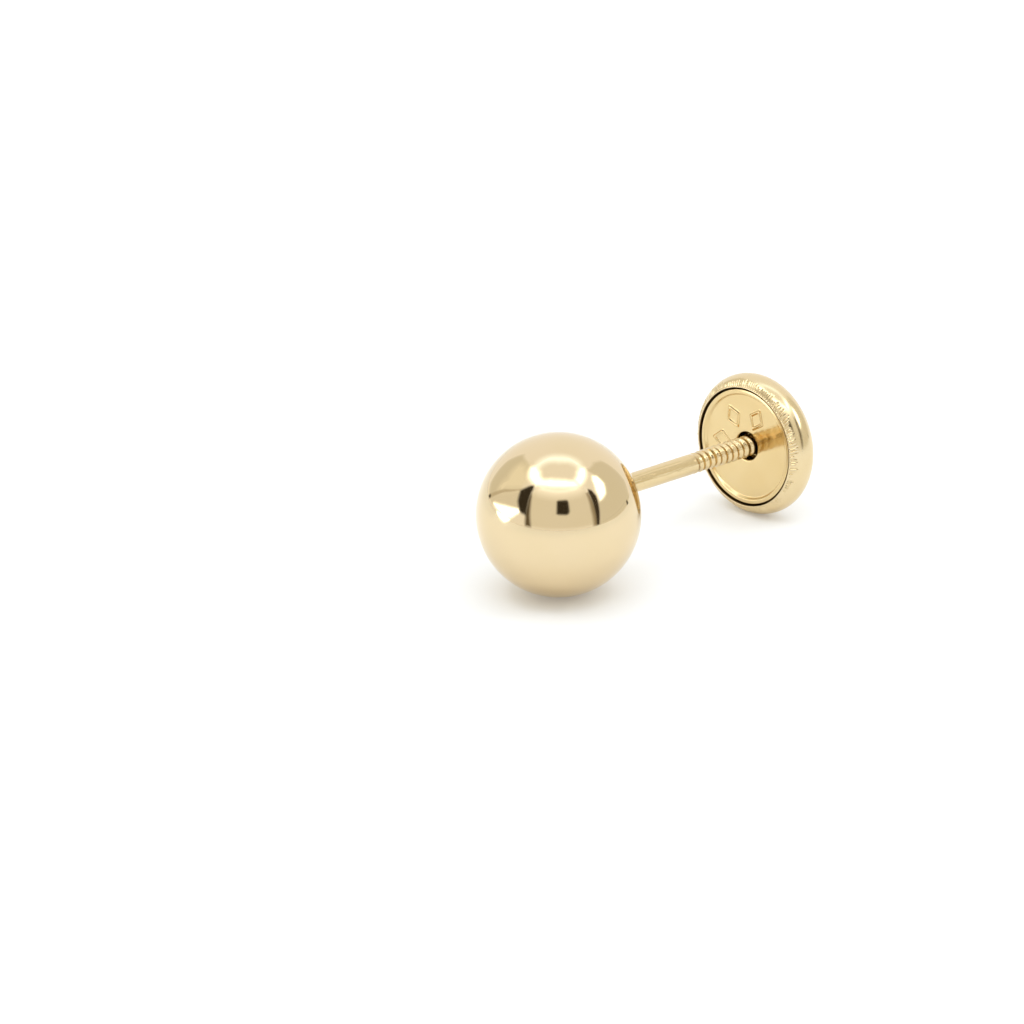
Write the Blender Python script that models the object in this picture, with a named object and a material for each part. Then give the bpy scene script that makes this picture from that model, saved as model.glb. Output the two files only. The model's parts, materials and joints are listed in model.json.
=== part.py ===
"""A gold ball stud earring with a screw back, lying on a flat surface on its ball and the rim of its back.

Everything is turned round the post's axis, which is each mesh's own +X, from the ball towards the back.
A station is a distance along that axis, counted from the ball's centre.
"""

import math

import bmesh
import bpy

MM = 0.001

# Ball
BALL_RADIUS = 3.0 * MM
BALL_DROP = 0.3 * MM  # the ball is soldered on a little below the post's line

# Post: a plain shank, then a rolled thread that deepens towards the tip
SHANK_RADIUS = 0.37 * MM
POST_SINK = 1.0 * MM  # how deep the post sits in the ball
POST_LENGTH = 8.8 * MM  # from the ball's surface to the tip
THREAD_LENGTH = 4.55 * MM
THREAD_RADIUS = 0.39 * MM  # over the crests
THREAD_DEPTH = 0.075 * MM
THREAD_RUNOUT = 2.2 * MM  # over this length the grooves grow to their full depth
PITCH = 0.3 * MM
TIP_LENGTH = 0.22 * MM
TIP_RADIUS = 0.2 * MM

# Back: a hollow cup with a thin lip, and a plate set just inside the lip
LOBE_GAP = 6.82 * MM  # from the ball's surface to the lip
LIP_RADIUS = 2.195 * MM  # inside the mouth
LIP_EDGE = 0.035 * MM
RIM_RADIUS = 2.613 * MM
ROLL_RADIUS = 0.685 * MM  # of the cup's rounded side
ROLL_START = math.radians(-63.5)  # where the rounded side meets the lip
CUP_WALL = 0.15 * MM
DOME_RISE = 0.17 * MM

PLATE_CLEARANCE = 0.055 * MM
PLATE_RECESS = 0.09 * MM  # from the lip to the plate's raised edge
PLATE_EDGE_HEIGHT = 0.05 * MM
PLATE_EDGE_WIDTH = 0.2 * MM
PLATE_THICKNESS = 0.16 * MM
PLATE_SKIRT = 0.4 * MM
HOLE_CLEARANCE = 0.135 * MM  # round the thread
HOLE_ROUNDING = 0.06 * MM

# Bush that grips the thread, seated in the cup's back
BUSH_CLEARANCE = 0.03 * MM
BUSH_WALL = 0.2 * MM
BUSH_LENGTH = 0.95 * MM
BUSH_STANDS_OUT = 0.12 * MM
SHOULDER_WIDTH = 0.33 * MM
SHOULDER_THICKNESS = 0.2 * MM
SEAT_CLEARANCE = 0.03 * MM

# Three plain raised lozenges on the plate
MARK_CIRCLE = 1.18 * MM
MARK_LENGTH = 0.84 * MM
MARK_WIDTH = 0.62 * MM
MARK_LINE = 0.09 * MM
MARK_HEIGHT = 0.03 * MM
MARK_FIRST = math.radians(-20)
MARK_SPACING = math.radians(56)
MARKS = 3

SIDES = 36
POST_SIDES = 20
THREAD_ROWS = 5  # in each turn of the thread
ARC_STEPS = 8
ROUNDING_STEPS = 3
SHARP_FROM = math.radians(35)
WELD = 1e-4 * MM

POST_TIP = BALL_RADIUS + POST_LENGTH
THREAD_END = POST_TIP - TIP_LENGTH
THREAD_START = THREAD_END - THREAD_LENGTH
LIP = BALL_RADIUS + LOBE_GAP
ROLL_CIRCLE = RIM_RADIUS - ROLL_RADIUS  # the rounded side's centres lie on a circle of this radius
RIM = LIP - ROLL_RADIUS * math.sin(ROLL_START)  # station of the widest part
CUP_BACK = RIM + ROLL_RADIUS + DOME_RISE
PLATE_EDGE = LIP + PLATE_RECESS
PLATE_FACE = PLATE_EDGE + PLATE_EDGE_HEIGHT
PLATE_RADIUS = LIP_RADIUS - PLATE_CLEARANCE
HOLE_RADIUS = THREAD_RADIUS + HOLE_CLEARANCE
BORE_RADIUS = THREAD_RADIUS + BUSH_CLEARANCE
BUSH_RADIUS = BORE_RADIUS + BUSH_WALL
CUP_HOLE_RADIUS = BUSH_RADIUS + SEAT_CLEARANCE
SHOULDER_RADIUS = BUSH_RADIUS + SHOULDER_WIDTH


def lying_tilt():
    """How far the axis dips towards the back when the ball and the rim both touch the floor."""
    across = ROLL_CIRCLE - BALL_DROP
    return math.atan2(RIM, across) - math.acos((BALL_RADIUS - ROLL_RADIUS) / math.hypot(across, RIM))


def smooth(share):
    share = min(max(share, 0.0), 1.0)
    return share * share * (3.0 - 2.0 * share)


def gold(name, colour, roughness):
    material = bpy.data.materials.new(name)
    material.use_nodes = True
    shader = material.node_tree.nodes["Principled BSDF"]
    shader.inputs["Base Color"].default_value = (*colour, 1.0)
    shader.inputs["Metallic"].default_value = 1.0
    shader.inputs["Roughness"].default_value = roughness
    material.diffuse_color = (*colour, 1.0)
    return material


def make_object(name, shape, material, parent):
    """An object from a bmesh, welded and with its faces turned outwards."""
    bmesh.ops.remove_doubles(shape, verts=shape.verts, dist=WELD)
    bmesh.ops.recalc_face_normals(shape, faces=shape.faces)
    mesh = bpy.data.meshes.new(name)
    shape.to_mesh(mesh)
    shape.free()
    mesh.shade_smooth()
    mesh.set_sharp_from_angle(angle=SHARP_FROM)
    mesh.materials.append(material)
    made = bpy.data.objects.new(name, mesh)
    made.parent = parent
    bpy.context.scene.collection.objects.link(made)
    return made


def make_empty(name, location, parent=None):
    empty = bpy.data.objects.new(name, None)
    empty.location = location
    empty.parent = parent
    bpy.context.scene.collection.objects.link(empty)
    return empty


def turned(outline, closed):
    """A body turned round +X from (station, radius) points, with a flat side downwards."""
    shape = bmesh.new()
    points = [shape.verts.new((station, 0.0, radius)) for station, radius in outline]
    ends = zip(points, points[1:] + points[:1]) if closed else zip(points, points[1:])
    edges = [shape.edges.new(pair) for pair in ends]
    bmesh.ops.spin(
        shape, geom=points + edges, cent=(0, 0, 0), axis=(1, 0, 0), angle=2 * math.pi, steps=SIDES, use_merge=True
    )
    half_side = math.pi / SIDES
    for point in shape.verts:
        along, across, up = point.co
        point.co = (
            along,
            across * math.cos(half_side) - up * math.sin(half_side),
            across * math.sin(half_side) + up * math.cos(half_side),
        )
    return shape


def arc(centre, radius, start, end, steps):
    """Points on an arc, its angles measured from straight outwards towards the back."""
    station, out = centre
    angles = [start + (end - start) * step / steps for step in range(steps + 1)]
    return [(station + radius * math.sin(angle), out + radius * math.cos(angle)) for angle in angles]


def join(target, other):
    other.hide_render = True
    other.display_type = "WIRE"
    boolean = target.modifiers.new(other.name, "BOOLEAN")
    boolean.operation = "UNION"
    boolean.object = other
    boolean.solver = "EXACT"


def ball_shape():
    return turned(arc((0.0, 0.0), BALL_RADIUS, -math.pi / 2, math.pi / 2, SIDES // 2), closed=False)


def thread_radius(station, row):
    """The post's radius on one row of the thread. Rows follow the helix, so each keeps its place in the groove."""
    grown = smooth((station - THREAD_START) / THREAD_RUNOUT)
    fading = smooth((THREAD_END - station) / PITCH)
    groove = 0.5 + 0.5 * math.cos(2 * math.pi * row / THREAD_ROWS)
    crest = SHANK_RADIUS + (THREAD_RADIUS - SHANK_RADIUS) * grown
    return crest - THREAD_DEPTH * grown * fading * groove


def post_shape():
    """A right-hand thread between a plain shank and a bevelled tip."""
    turns = THREAD_LENGTH / PITCH
    rows = math.ceil((turns + 1) * THREAD_ROWS) + 1
    shape = bmesh.new()
    columns = []
    for side in range(POST_SIDES + 1):
        turn = side / POST_SIDES
        points = [(BALL_RADIUS - POST_SINK, SHANK_RADIUS)]
        for row in range(rows):
            along = (row / THREAD_ROWS + turn - 1.0) * PITCH
            station = THREAD_START + min(max(along, 0.0), THREAD_LENGTH)
            points.append((station, thread_radius(station, row)))
        points.append((POST_TIP, TIP_RADIUS))
        angle = 2 * math.pi * turn
        columns.append(
            [shape.verts.new((station, r * math.cos(angle), r * math.sin(angle))) for station, r in points]
        )
    for left, right in zip(columns, columns[1:]):
        for row in range(len(left) - 1):
            shape.faces.new((left[row], left[row + 1], right[row + 1], right[row]))
    bmesh.ops.remove_doubles(shape, verts=shape.verts, dist=WELD)
    open_edges = [edge for edge in shape.edges if edge.is_boundary]
    bmesh.ops.holes_fill(shape, edges=open_edges, sides=0)
    return shape


def dome_station(radius):
    """Station of the cup's low domed back at a distance from the axis."""
    share = (radius - CUP_HOLE_RADIUS) / (ROLL_CIRCLE - CUP_HOLE_RADIUS)
    return RIM + ROLL_RADIUS + DOME_RISE * (1.0 - smooth(share))


def cup_shape():
    roll_centre = (RIM, ROLL_CIRCLE)
    inner_roll = ROLL_RADIUS - CUP_WALL
    mouth_angle = -math.acos((LIP_RADIUS - ROLL_CIRCLE) / inner_roll)
    dome = [
        CUP_HOLE_RADIUS + (ROLL_CIRCLE - CUP_HOLE_RADIUS) * (1.0 - step / ARC_STEPS)
        for step in range(1, ARC_STEPS + 1)
    ]
    outside = arc(roll_centre, ROLL_RADIUS, ROLL_START, math.pi / 2, 2 * ARC_STEPS)
    outside += [(dome_station(radius), radius) for radius in dome]
    inside = arc(roll_centre, inner_roll, mouth_angle, math.pi / 2, ARC_STEPS)
    inside += [(dome_station(radius) - CUP_WALL, radius) for radius in dome]
    lip = [(LIP + LIP_EDGE, LIP_RADIUS)]
    return turned(outside + inside[::-1] + lip, closed=True)


def plate_shape():
    """A pressed lid: a raised rounded edge, a flat face, a rounded hole and a short skirt behind."""
    edge_radius = PLATE_EDGE_WIDTH / 2
    edge_circle = PLATE_RADIUS - edge_radius
    back = PLATE_FACE + PLATE_THICKNESS
    skirt_end = PLATE_EDGE + PLATE_SKIRT
    skirt_inside = PLATE_RADIUS - PLATE_THICKNESS
    hole_round = arc(
        (PLATE_FACE + HOLE_ROUNDING, HOLE_RADIUS + HOLE_ROUNDING),
        HOLE_ROUNDING,
        -math.pi,
        -math.pi / 2,
        ROUNDING_STEPS,
    )
    edge_round = arc((PLATE_EDGE + edge_radius, edge_circle), edge_radius, -math.pi / 2, 0.0, ROUNDING_STEPS)
    front = [(PLATE_FACE, PLATE_RADIUS - 2 * PLATE_EDGE_WIDTH), (PLATE_EDGE, edge_circle - edge_radius / 2)]
    behind = [(skirt_end, PLATE_RADIUS), (skirt_end, skirt_inside), (back, skirt_inside), (back, HOLE_RADIUS)]
    return turned(hole_round + front + edge_round + behind, closed=True)


def lozenge_shape(place):
    """A raised lozenge outline on the plate's face, pointing away from the hole."""
    shape = bmesh.new()
    loops = []
    corner = math.hypot(MARK_LENGTH, MARK_WIDTH)
    for station in (PLATE_FACE + PLATE_THICKNESS / 2, PLATE_FACE - MARK_HEIGHT):
        for inset in (0.0, MARK_LINE):
            length = MARK_LENGTH / 2 - inset * corner / MARK_WIDTH
            width = MARK_WIDTH / 2 - inset * corner / MARK_LENGTH
            loop = []
            for out, across in ((length, 0.0), (0.0, width), (-length, 0.0), (0.0, -width)):
                reach = MARK_CIRCLE + out
                loop.append(
                    shape.verts.new(
                        (
                            station,
                            reach * math.sin(place) + across * math.cos(place),
                            reach * math.cos(place) - across * math.sin(place),
                        )
                    )
                )
            loops.append(loop)
    foot, foot_inside, top, top_inside = loops
    for first, second in ((foot, top), (top, top_inside), (top_inside, foot_inside), (foot_inside, foot)):
        for here in range(4):
            after = (here + 1) % 4
            shape.faces.new((first[here], first[after], second[after], second[here]))
    return shape


def bush_shape():
    """A tube with a shoulder that bears on the inside of the cup's back."""
    bush_end = CUP_BACK + BUSH_STANDS_OUT
    bush_start = bush_end - BUSH_LENGTH
    shoulder_end = dome_station(SHOULDER_RADIUS) - CUP_WALL - SEAT_CLEARANCE
    shoulder_start = shoulder_end - SHOULDER_THICKNESS
    chamfer = BUSH_WALL / 4
    return turned(
        [
            (bush_start, BORE_RADIUS),
            (bush_start, BUSH_RADIUS),
            (shoulder_start, BUSH_RADIUS),
            (shoulder_start, SHOULDER_RADIUS),
            (shoulder_end, SHOULDER_RADIUS),
            (shoulder_end, BUSH_RADIUS),
            (bush_end - chamfer, BUSH_RADIUS),
            (bush_end, BUSH_RADIUS - chamfer),
            (bush_end, BORE_RADIUS + chamfer),
            (bush_end - chamfer, BORE_RADIUS),
        ],
        closed=True,
    )


def build():
    for old in list(bpy.data.objects):
        bpy.data.objects.remove(old, do_unlink=True)

    tilt = lying_tilt()
    polished = gold("polished_gold", (0.90, 0.72, 0.42), 0.06)
    drawn = gold("drawn_gold", (0.86, 0.68, 0.40), 0.18)
    pressed = gold("pressed_gold", (0.88, 0.69, 0.38), 0.12)
    machined = gold("machined_gold", (0.80, 0.62, 0.34), 0.25)

    # The ball's flat underside touches the floor, and the length from ball to tip is centred over the origin.
    reach = POST_TIP * math.cos(tilt) + (BALL_DROP + TIP_RADIUS) * math.sin(tilt)
    axis_x = (BALL_RADIUS - reach) / 2 + BALL_DROP * math.sin(tilt)
    axis_z = BALL_RADIUS * math.cos(math.pi / SIDES) + BALL_DROP * math.cos(tilt)
    axis = make_empty("post_axis", (axis_x, 0.0, axis_z))
    axis.rotation_euler = (0.0, tilt, 0.0)

    ball_post = make_object("ball_post", post_shape(), drawn, axis)
    ball_post.data.materials.append(polished)
    ball = make_object("ball_form", ball_shape(), polished, axis)
    ball.location.z = -BALL_DROP
    ball.rotation_euler.y = -tilt
    join(ball_post, ball)

    screw_back = make_empty("screw_back", (0.0, 0.0, 0.0), axis)
    plate = make_object("back_plate", plate_shape(), pressed, screw_back)
    for mark in range(MARKS):
        form = make_object(
            f"lozenge_form_{mark + 1}", lozenge_shape(MARK_FIRST + mark * MARK_SPACING), pressed, screw_back
        )
        join(plate, form)
    make_object("back_shell", cup_shape(), polished, screw_back)
    make_object("thread_bush", bush_shape(), machined, screw_back)


build()
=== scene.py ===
"""A pale gold ball stud earring with a screw back, lying on its ball and on the rim of its back."""

import json
import math

import bmesh
import bpy
from mathutils import Matrix, Vector, noise


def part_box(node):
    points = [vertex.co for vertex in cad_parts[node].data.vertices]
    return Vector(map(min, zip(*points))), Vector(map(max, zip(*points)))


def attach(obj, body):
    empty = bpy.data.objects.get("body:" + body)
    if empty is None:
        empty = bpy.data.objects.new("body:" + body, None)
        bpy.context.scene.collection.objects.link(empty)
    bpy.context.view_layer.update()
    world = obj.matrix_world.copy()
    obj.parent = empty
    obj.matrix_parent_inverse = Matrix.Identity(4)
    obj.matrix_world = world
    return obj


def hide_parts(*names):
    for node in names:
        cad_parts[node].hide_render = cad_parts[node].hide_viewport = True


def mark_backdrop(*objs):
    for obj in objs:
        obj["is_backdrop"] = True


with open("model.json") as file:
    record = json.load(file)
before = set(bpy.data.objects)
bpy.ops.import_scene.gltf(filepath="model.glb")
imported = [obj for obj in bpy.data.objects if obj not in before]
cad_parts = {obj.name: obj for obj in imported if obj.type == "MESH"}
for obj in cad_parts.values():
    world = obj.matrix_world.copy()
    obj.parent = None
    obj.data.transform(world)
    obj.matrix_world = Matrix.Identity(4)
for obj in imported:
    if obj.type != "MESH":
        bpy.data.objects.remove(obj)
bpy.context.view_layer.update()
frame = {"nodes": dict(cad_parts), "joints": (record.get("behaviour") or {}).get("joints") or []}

# The ball: a hollow bead of yellow gold, soldered from two pressed halves and buffed until no seam shows.
# It sits a little low on the end of the post. The stud rests on its underside and on the rim of the back.
MM = 0.001
BALL_SIDES = 192
WELD = 1e-5 * MM

back_turn = next(joint for joint in frame["joints"] if joint["name"] == "back_turn")
axis = -Vector(back_turn["axis"])  # along the post, from the ball to the back
across = Vector((0.0, 1.0, 0.0))
upright = axis.cross(across)
mouth = Vector(back_turn["pos_m"])  # where the axis meets the plate's flat face


def placed_at(point):
    """The matrix from (station along the post, across, upright), counted from a point, to the row frame."""
    return Matrix.Translation(point) @ Matrix((axis, across, upright)).transposed().to_4x4()


on_axis = placed_at(mouth)


def arc(station, radius, size, start, end, steps):
    """(station, radius) points on an arc, its angles measured from straight outwards towards the back."""
    angles = [start + (end - start) * step / steps for step in range(steps + 1)]
    return [(station + size * math.sin(angle), radius + size * math.cos(angle)) for angle in angles]


def turned(outline, sides, closed):
    """A mesh turned round the post's direction from (station, radius) points."""
    form = bmesh.new()
    points = [form.verts.new((station, 0.0, radius)) for station, radius in outline]
    ends = zip(points, points[1:] + points[:1]) if closed else zip(points, points[1:])
    edges = [form.edges.new(pair) for pair in ends]
    bmesh.ops.spin(
        form,
        geom=points + edges,
        cent=(0, 0, 0),
        axis=(1, 0, 0),
        angle=2 * math.pi,
        steps=sides,
        use_merge=True,
    )
    bmesh.ops.remove_doubles(form, verts=form.verts, dist=WELD)
    bmesh.ops.recalc_face_normals(form, faces=form.faces)
    mesh = bpy.data.meshes.new("turned")
    form.to_mesh(mesh)
    form.free()
    return mesh


def finished(name, mesh, place, material, body, slot, *nodes):
    """A piece from a mesh in the post's frame, put in its place, with the CAD parts it stands for hidden, and
    hung on its body's empty.
    """
    mesh.transform(place)
    mesh.shade_smooth()
    mesh.name = name
    if not mesh.materials:
        mesh.materials.append(material)
    piece = bpy.data.objects.new(name, mesh)
    bpy.context.scene.collection.objects.link(piece)
    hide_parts(*nodes)
    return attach(piece, body)


def linear(code):
    """An sRGB hex colour as the linear red, green, blue and alpha that a shader takes."""
    shares = [int(code[place : place + 2], 16) / 255 for place in (1, 3, 5)]
    return [
        share / 12.92 if share <= 0.04045 else ((share + 0.055) / 1.055) ** 2.4 for share in shares
    ] + [1.0]


def add_node(tree, kind, inputs=(), **settings):
    """A node with its settings, and each input given a value or linked to another node's socket."""
    node = tree.nodes.new(kind)
    for name, value in settings.items():
        setattr(node, name, value)
    for key, value in dict(inputs).items():
        if isinstance(value, bpy.types.NodeSocket):
            tree.links.new(value, node.inputs[key])
        else:
            node.inputs[key].default_value = value
    return node


def new_metal(name):
    """A bare metal material with its tree, its shader, and the piece's coordinates laid along the post."""
    material = bpy.data.materials.new(name)
    material.use_nodes = True
    tree = material.node_tree
    shader = tree.nodes["Principled BSDF"]
    shader.inputs["Metallic"].default_value = 1.0
    shader.inputs["Roughness"].default_value = 0.1
    coordinates = add_node(tree, "ShaderNodeTexCoord")
    centred = add_node(
        tree,
        "ShaderNodeMapping",
        {
            "Vector": coordinates.outputs["Object"],
            "Location": mouth,
            "Rotation": (0.0, math.asin(-axis.z), 0.0),
        },
        vector_type="TEXTURE",
    )
    return material, tree, shader, centred.outputs["Vector"]


# Yellow gold buffed on a rag wheel: a mirror that blurs what it shows a little, with long slow ripples,
# a bloom of hair-thin wheel lines and hardly any change of tone.
buffed_gold, tree, shader, place = new_metal("buffed_yellow_gold")
BUFF_RIPPLE = 1.3 * MM
WHEEL_LINE = 0.09 * MM  # real wheel lines are a few microns apart: drawn this coarse so that they show
ripple = add_node(tree, "ShaderNodeTexNoise", {"Vector": place, "Scale": 1 / BUFF_RIPPLE, "Detail": 1.0})
along_wheel = add_node(
    tree, "ShaderNodeMapping", {"Vector": place, "Rotation": (0.3, 0.5, 0.9), "Scale": (0.04, 1.0, 1.0)}
)
wheel = add_node(
    tree,
    "ShaderNodeTexNoise",
    {"Vector": along_wheel.outputs["Vector"], "Scale": 1 / WHEEL_LINE, "Detail": 3.0},
)
rippled = add_node(
    tree, "ShaderNodeBump", {"Height": ripple.outputs["Fac"], "Distance": 0.0012 * MM, "Strength": 1.0}
)
lined = add_node(
    tree,
    "ShaderNodeBump",
    {
        "Height": wheel.outputs["Fac"],
        "Distance": 0.00012 * MM,
        "Strength": 1.0,
        "Normal": rippled.outputs["Normal"],
    },
)
tone = add_node(
    tree,
    "ShaderNodeMix",
    {0: ripple.outputs["Fac"], 6: linear("#E0CBA2"), 7: linear("#E2CDA8")},
    data_type="RGBA",
)
gloss = add_node(
    tree,
    "ShaderNodeMapRange",
    {"Value": wheel.outputs["Fac"], "From Min": 0.3, "From Max": 0.8, "To Min": 0.05, "To Max": 0.085},
)
tree.links.new(tone.outputs[2], shader.inputs["Base Color"])
tree.links.new(gloss.outputs["Result"], shader.inputs["Roughness"])
tree.links.new(lined.outputs["Normal"], shader.inputs["Normal"])

low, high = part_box("ball_post")
ball_radius = (high.z - low.z) / 2
ball_centre = Vector((low.x + ball_radius, 0.0, low.z + ball_radius))
ball_mesh = turned(
    arc(0.0, 0.0, ball_radius, -math.pi / 2, math.pi / 2, BALL_SIDES // 2), sides=BALL_SIDES, closed=False
)
finished(
    "polished_ball", ball_mesh, placed_at(ball_centre), buffed_gold, "stud", "polished_gold", "ball_post"
)

# The collar: gold solder that ran round the foot of the post and was rubbed down with it.
# It swells unevenly, and keeps a duller, slightly greyer skin than the metal on either side.
COLLAR_REACH = 0.2 * MM  # past the post's side, on the ball
COLLAR_LENGTH = 0.26 * MM
COLLAR_SUNK = 0.1 * MM  # into the ball, so that no edge shows
COLLAR_HOLLOW = 2.6  # how quickly its side falls from the ball to the post
COLLAR_SWELL = 0.5  # how unevenly it swells round the post, as a share of its reach
COLLAR_WAVES = 1.4
COLLAR_BORE = 0.6  # how far in its hidden ends reach, in post radii
COLLAR_STEPS = 14
COLLAR_SIDES = 64
SHANK_RADIUS = 0.37 * MM
SNUG = 0.003 * MM  # how far the collar's thin end lies inside the post's skin

# Solder as it set, only rubbed down: a soft sheen over a fine uneven grain.
run_solder, tree, shader, place = new_metal("run_gold_solder")
SOLDER_GRAIN = 0.12 * MM
grain = add_node(tree, "ShaderNodeTexNoise", {"Vector": place, "Scale": 1 / SOLDER_GRAIN, "Detail": 4.0})
tone = add_node(
    tree,
    "ShaderNodeMix",
    {0: grain.outputs["Fac"], 6: linear("#D0BB8B"), 7: linear("#DDC99D")},
    data_type="RGBA",
)
gloss = add_node(
    tree,
    "ShaderNodeMapRange",
    {"Value": grain.outputs["Fac"], "From Min": 0.3, "From Max": 0.7, "To Min": 0.16, "To Max": 0.32},
)
skin = add_node(
    tree, "ShaderNodeBump", {"Height": grain.outputs["Fac"], "Distance": 0.004 * MM, "Strength": 1.0}
)
tree.links.new(tone.outputs[2], shader.inputs["Base Color"])
tree.links.new(gloss.outputs["Result"], shader.inputs["Roughness"])
tree.links.new(skin.outputs["Normal"], shader.inputs["Normal"])

ball_drop = -(on_axis.inverted() @ ball_centre).z
ball_middle = (on_axis.inverted() @ ball_centre).x
collar_foot = ball_middle + math.sqrt(ball_radius**2 - (ball_drop + SHANK_RADIUS + COLLAR_REACH) ** 2)
collar_bore = SHANK_RADIUS * COLLAR_BORE
collar_outline = [
    (collar_foot - COLLAR_SUNK, collar_bore),
    (collar_foot - COLLAR_SUNK, SHANK_RADIUS + COLLAR_REACH),
]
for step in range(COLLAR_STEPS + 1):
    share = step / COLLAR_STEPS
    slope = (1 - share) ** COLLAR_HOLLOW
    collar_outline.append(
        (collar_foot + share * (COLLAR_LENGTH + COLLAR_SUNK), SHANK_RADIUS - SNUG + COLLAR_REACH * slope)
    )
collar_outline.append((collar_foot + COLLAR_LENGTH + COLLAR_SUNK, collar_bore))
collar_mesh = turned(collar_outline, sides=COLLAR_SIDES, closed=True)
for point in collar_mesh.vertices:
    outwards = Vector((0.0, point.co.y, point.co.z))
    spread = max(outwards.length - SHANK_RADIUS, 0.0)
    swell = COLLAR_SWELL * noise.noise(outwards.normalized() * COLLAR_WAVES)
    point.co += outwards.normalized() * spread * swell
finished("solder_collar", collar_mesh, on_axis, run_solder, "stud", "polished_gold", "ball_post")

# The post: gold wire drawn to 0.74 mm, with a right-hand thread that starts shallow and deepens to the tip.
# The wire keeps the die's lengthwise lines. The thread's crests stand a little proud of it, soft and uneven.
POST_SIDES = 56
POST_ROWS = 1000
PITCH = 0.3 * MM
THREAD_LENGTH = 4.9 * MM
THREAD_RUNOUT = 2.3 * MM
THREAD_DEPTH = 0.09 * MM
THREAD_GROWTH = 0.9  # below 1, the thread deepens soon after its start
GROOVE_FULLNESS = 0.8  # below 1, the groove is wider than the crest
CREST_RADIUS = 0.39 * MM
POST_FOOT = 0.8  # where the wire starts inside the ball, in ball radii
TIP_LENGTH = 0.22 * MM
TIP_RADIUS = 0.2 * MM

# Wire pulled through a die and then handled: bright, with streaks along its length and a few small nicks.
drawn_gold, tree, shader, place = new_metal("drawn_gold_wire")
DIE_LINE = 0.16 * MM  # real lines are a tenth of this: drawn coarse so that they show
NICK = 0.16 * MM
along_wire = add_node(tree, "ShaderNodeMapping", {"Vector": place, "Scale": (0.05, 1.0, 1.0)})
lines = add_node(
    tree, "ShaderNodeTexNoise", {"Vector": along_wire.outputs["Vector"], "Scale": 1 / DIE_LINE, "Detail": 3.0}
)
nicks = add_node(
    tree, "ShaderNodeTexNoise", {"Vector": place, "Scale": 1 / NICK, "Detail": 5.0, "Roughness": 0.7}
)
worn = add_node(
    tree,
    "ShaderNodeMapRange",
    {"Value": nicks.outputs["Fac"], "From Min": 0.62, "From Max": 0.72},
    interpolation_type="SMOOTHSTEP",
)
tone = add_node(
    tree,
    "ShaderNodeMix",
    {0: nicks.outputs["Fac"], 6: linear("#D9C192"), 7: linear("#E3CDA1")},
    data_type="RGBA",
)
gloss = add_node(
    tree,
    "ShaderNodeMapRange",
    {"Value": lines.outputs["Fac"], "From Min": 0.3, "From Max": 0.7, "To Min": 0.1, "To Max": 0.22},
)
scored = add_node(
    tree, "ShaderNodeBump", {"Height": lines.outputs["Fac"], "Distance": 0.036 * MM, "Strength": 1.0}
)
nicked = add_node(
    tree,
    "ShaderNodeBump",
    {
        "Height": worn.outputs["Result"],
        "Distance": 0.006 * MM,
        "Strength": 1.0,
        "Normal": scored.outputs["Normal"],
    },
    invert=True,
)
tree.links.new(tone.outputs[2], shader.inputs["Base Color"])
tree.links.new(gloss.outputs["Result"], shader.inputs["Roughness"])
tree.links.new(nicked.outputs["Normal"], shader.inputs["Normal"])


def node_tree(name, sizes):
    """An empty geometry tree with one named input for each size, and its input and output nodes."""
    tree = bpy.data.node_groups.new(name, "GeometryNodeTree")
    tree.interface.new_socket("Mesh", in_out="INPUT", socket_type="NodeSocketGeometry")
    for size, kind in sizes.items():
        tree.interface.new_socket(size, in_out="INPUT", socket_type=kind)
    tree.interface.new_socket("Mesh", in_out="OUTPUT", socket_type="NodeSocketGeometry")
    return tree, tree.nodes.new("NodeGroupInput"), tree.nodes.new("NodeGroupOutput")


def grown(mesh, tree, sizes):
    """The plain mesh that a tree makes of a mesh with the given sizes."""
    maker = bpy.data.objects.new(tree.name, mesh)
    bpy.context.scene.collection.objects.link(maker)
    modifier = maker.modifiers.new(tree.name, "NODES")
    modifier.node_group = tree
    for item in tree.interface.items_tree:
        if item.in_out == "INPUT" and item.name in sizes:
            modifier[item.identifier] = sizes[item.name]
    depsgraph = bpy.context.evaluated_depsgraph_get()
    made = bpy.data.meshes.new_from_object(maker.evaluated_get(depsgraph), depsgraph=depsgraph)
    bpy.data.objects.remove(maker)
    return made


tree, given, made = node_tree(
    "cut_thread",
    {
        "Length": "NodeSocketFloat",
        "Thread Start": "NodeSocketFloat",
        "Thread End": "NodeSocketFloat",
        "Run-out": "NodeSocketFloat",
        "Pitch": "NodeSocketFloat",
        "Depth": "NodeSocketFloat",
        "Shank Radius": "NodeSocketFloat",
        "Crest Radius": "NodeSocketFloat",
        "Tip Radius": "NodeSocketFloat",
        "Rows": "NodeSocketInt",
        "Sides": "NodeSocketInt",
        "Metal": "NodeSocketMaterial",
    },
)
sheet = add_node(
    tree,
    "GeometryNodeMeshGrid",
    {
        "Size X": given.outputs["Length"],
        "Size Y": 2 * math.pi,
        "Vertices X": given.outputs["Rows"],
        "Vertices Y": given.outputs["Sides"],
    },
)
spot = add_node(tree, "ShaderNodeSeparateXYZ", {0: add_node(tree, "GeometryNodeInputPosition").outputs[0]})
half = add_node(tree, "ShaderNodeMath", {0: given.outputs["Length"], 1: 0.5}, operation="MULTIPLY")
station = add_node(tree, "ShaderNodeMath", {0: spot.outputs["X"], 1: half.outputs[0]}, operation="ADD")
begun = add_node(
    tree, "ShaderNodeMath", {0: station.outputs[0], 1: given.outputs["Thread Start"]}, operation="SUBTRACT"
)
run = add_node(tree, "ShaderNodeMapRange", {"Value": begun.outputs[0], "From Max": given.outputs["Run-out"]})
growth = add_node(tree, "ShaderNodeMath", {0: run.outputs[0], 1: THREAD_GROWTH}, operation="POWER")
left = add_node(
    tree, "ShaderNodeMath", {0: given.outputs["Thread End"], 1: station.outputs[0]}, operation="SUBTRACT"
)
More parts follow.
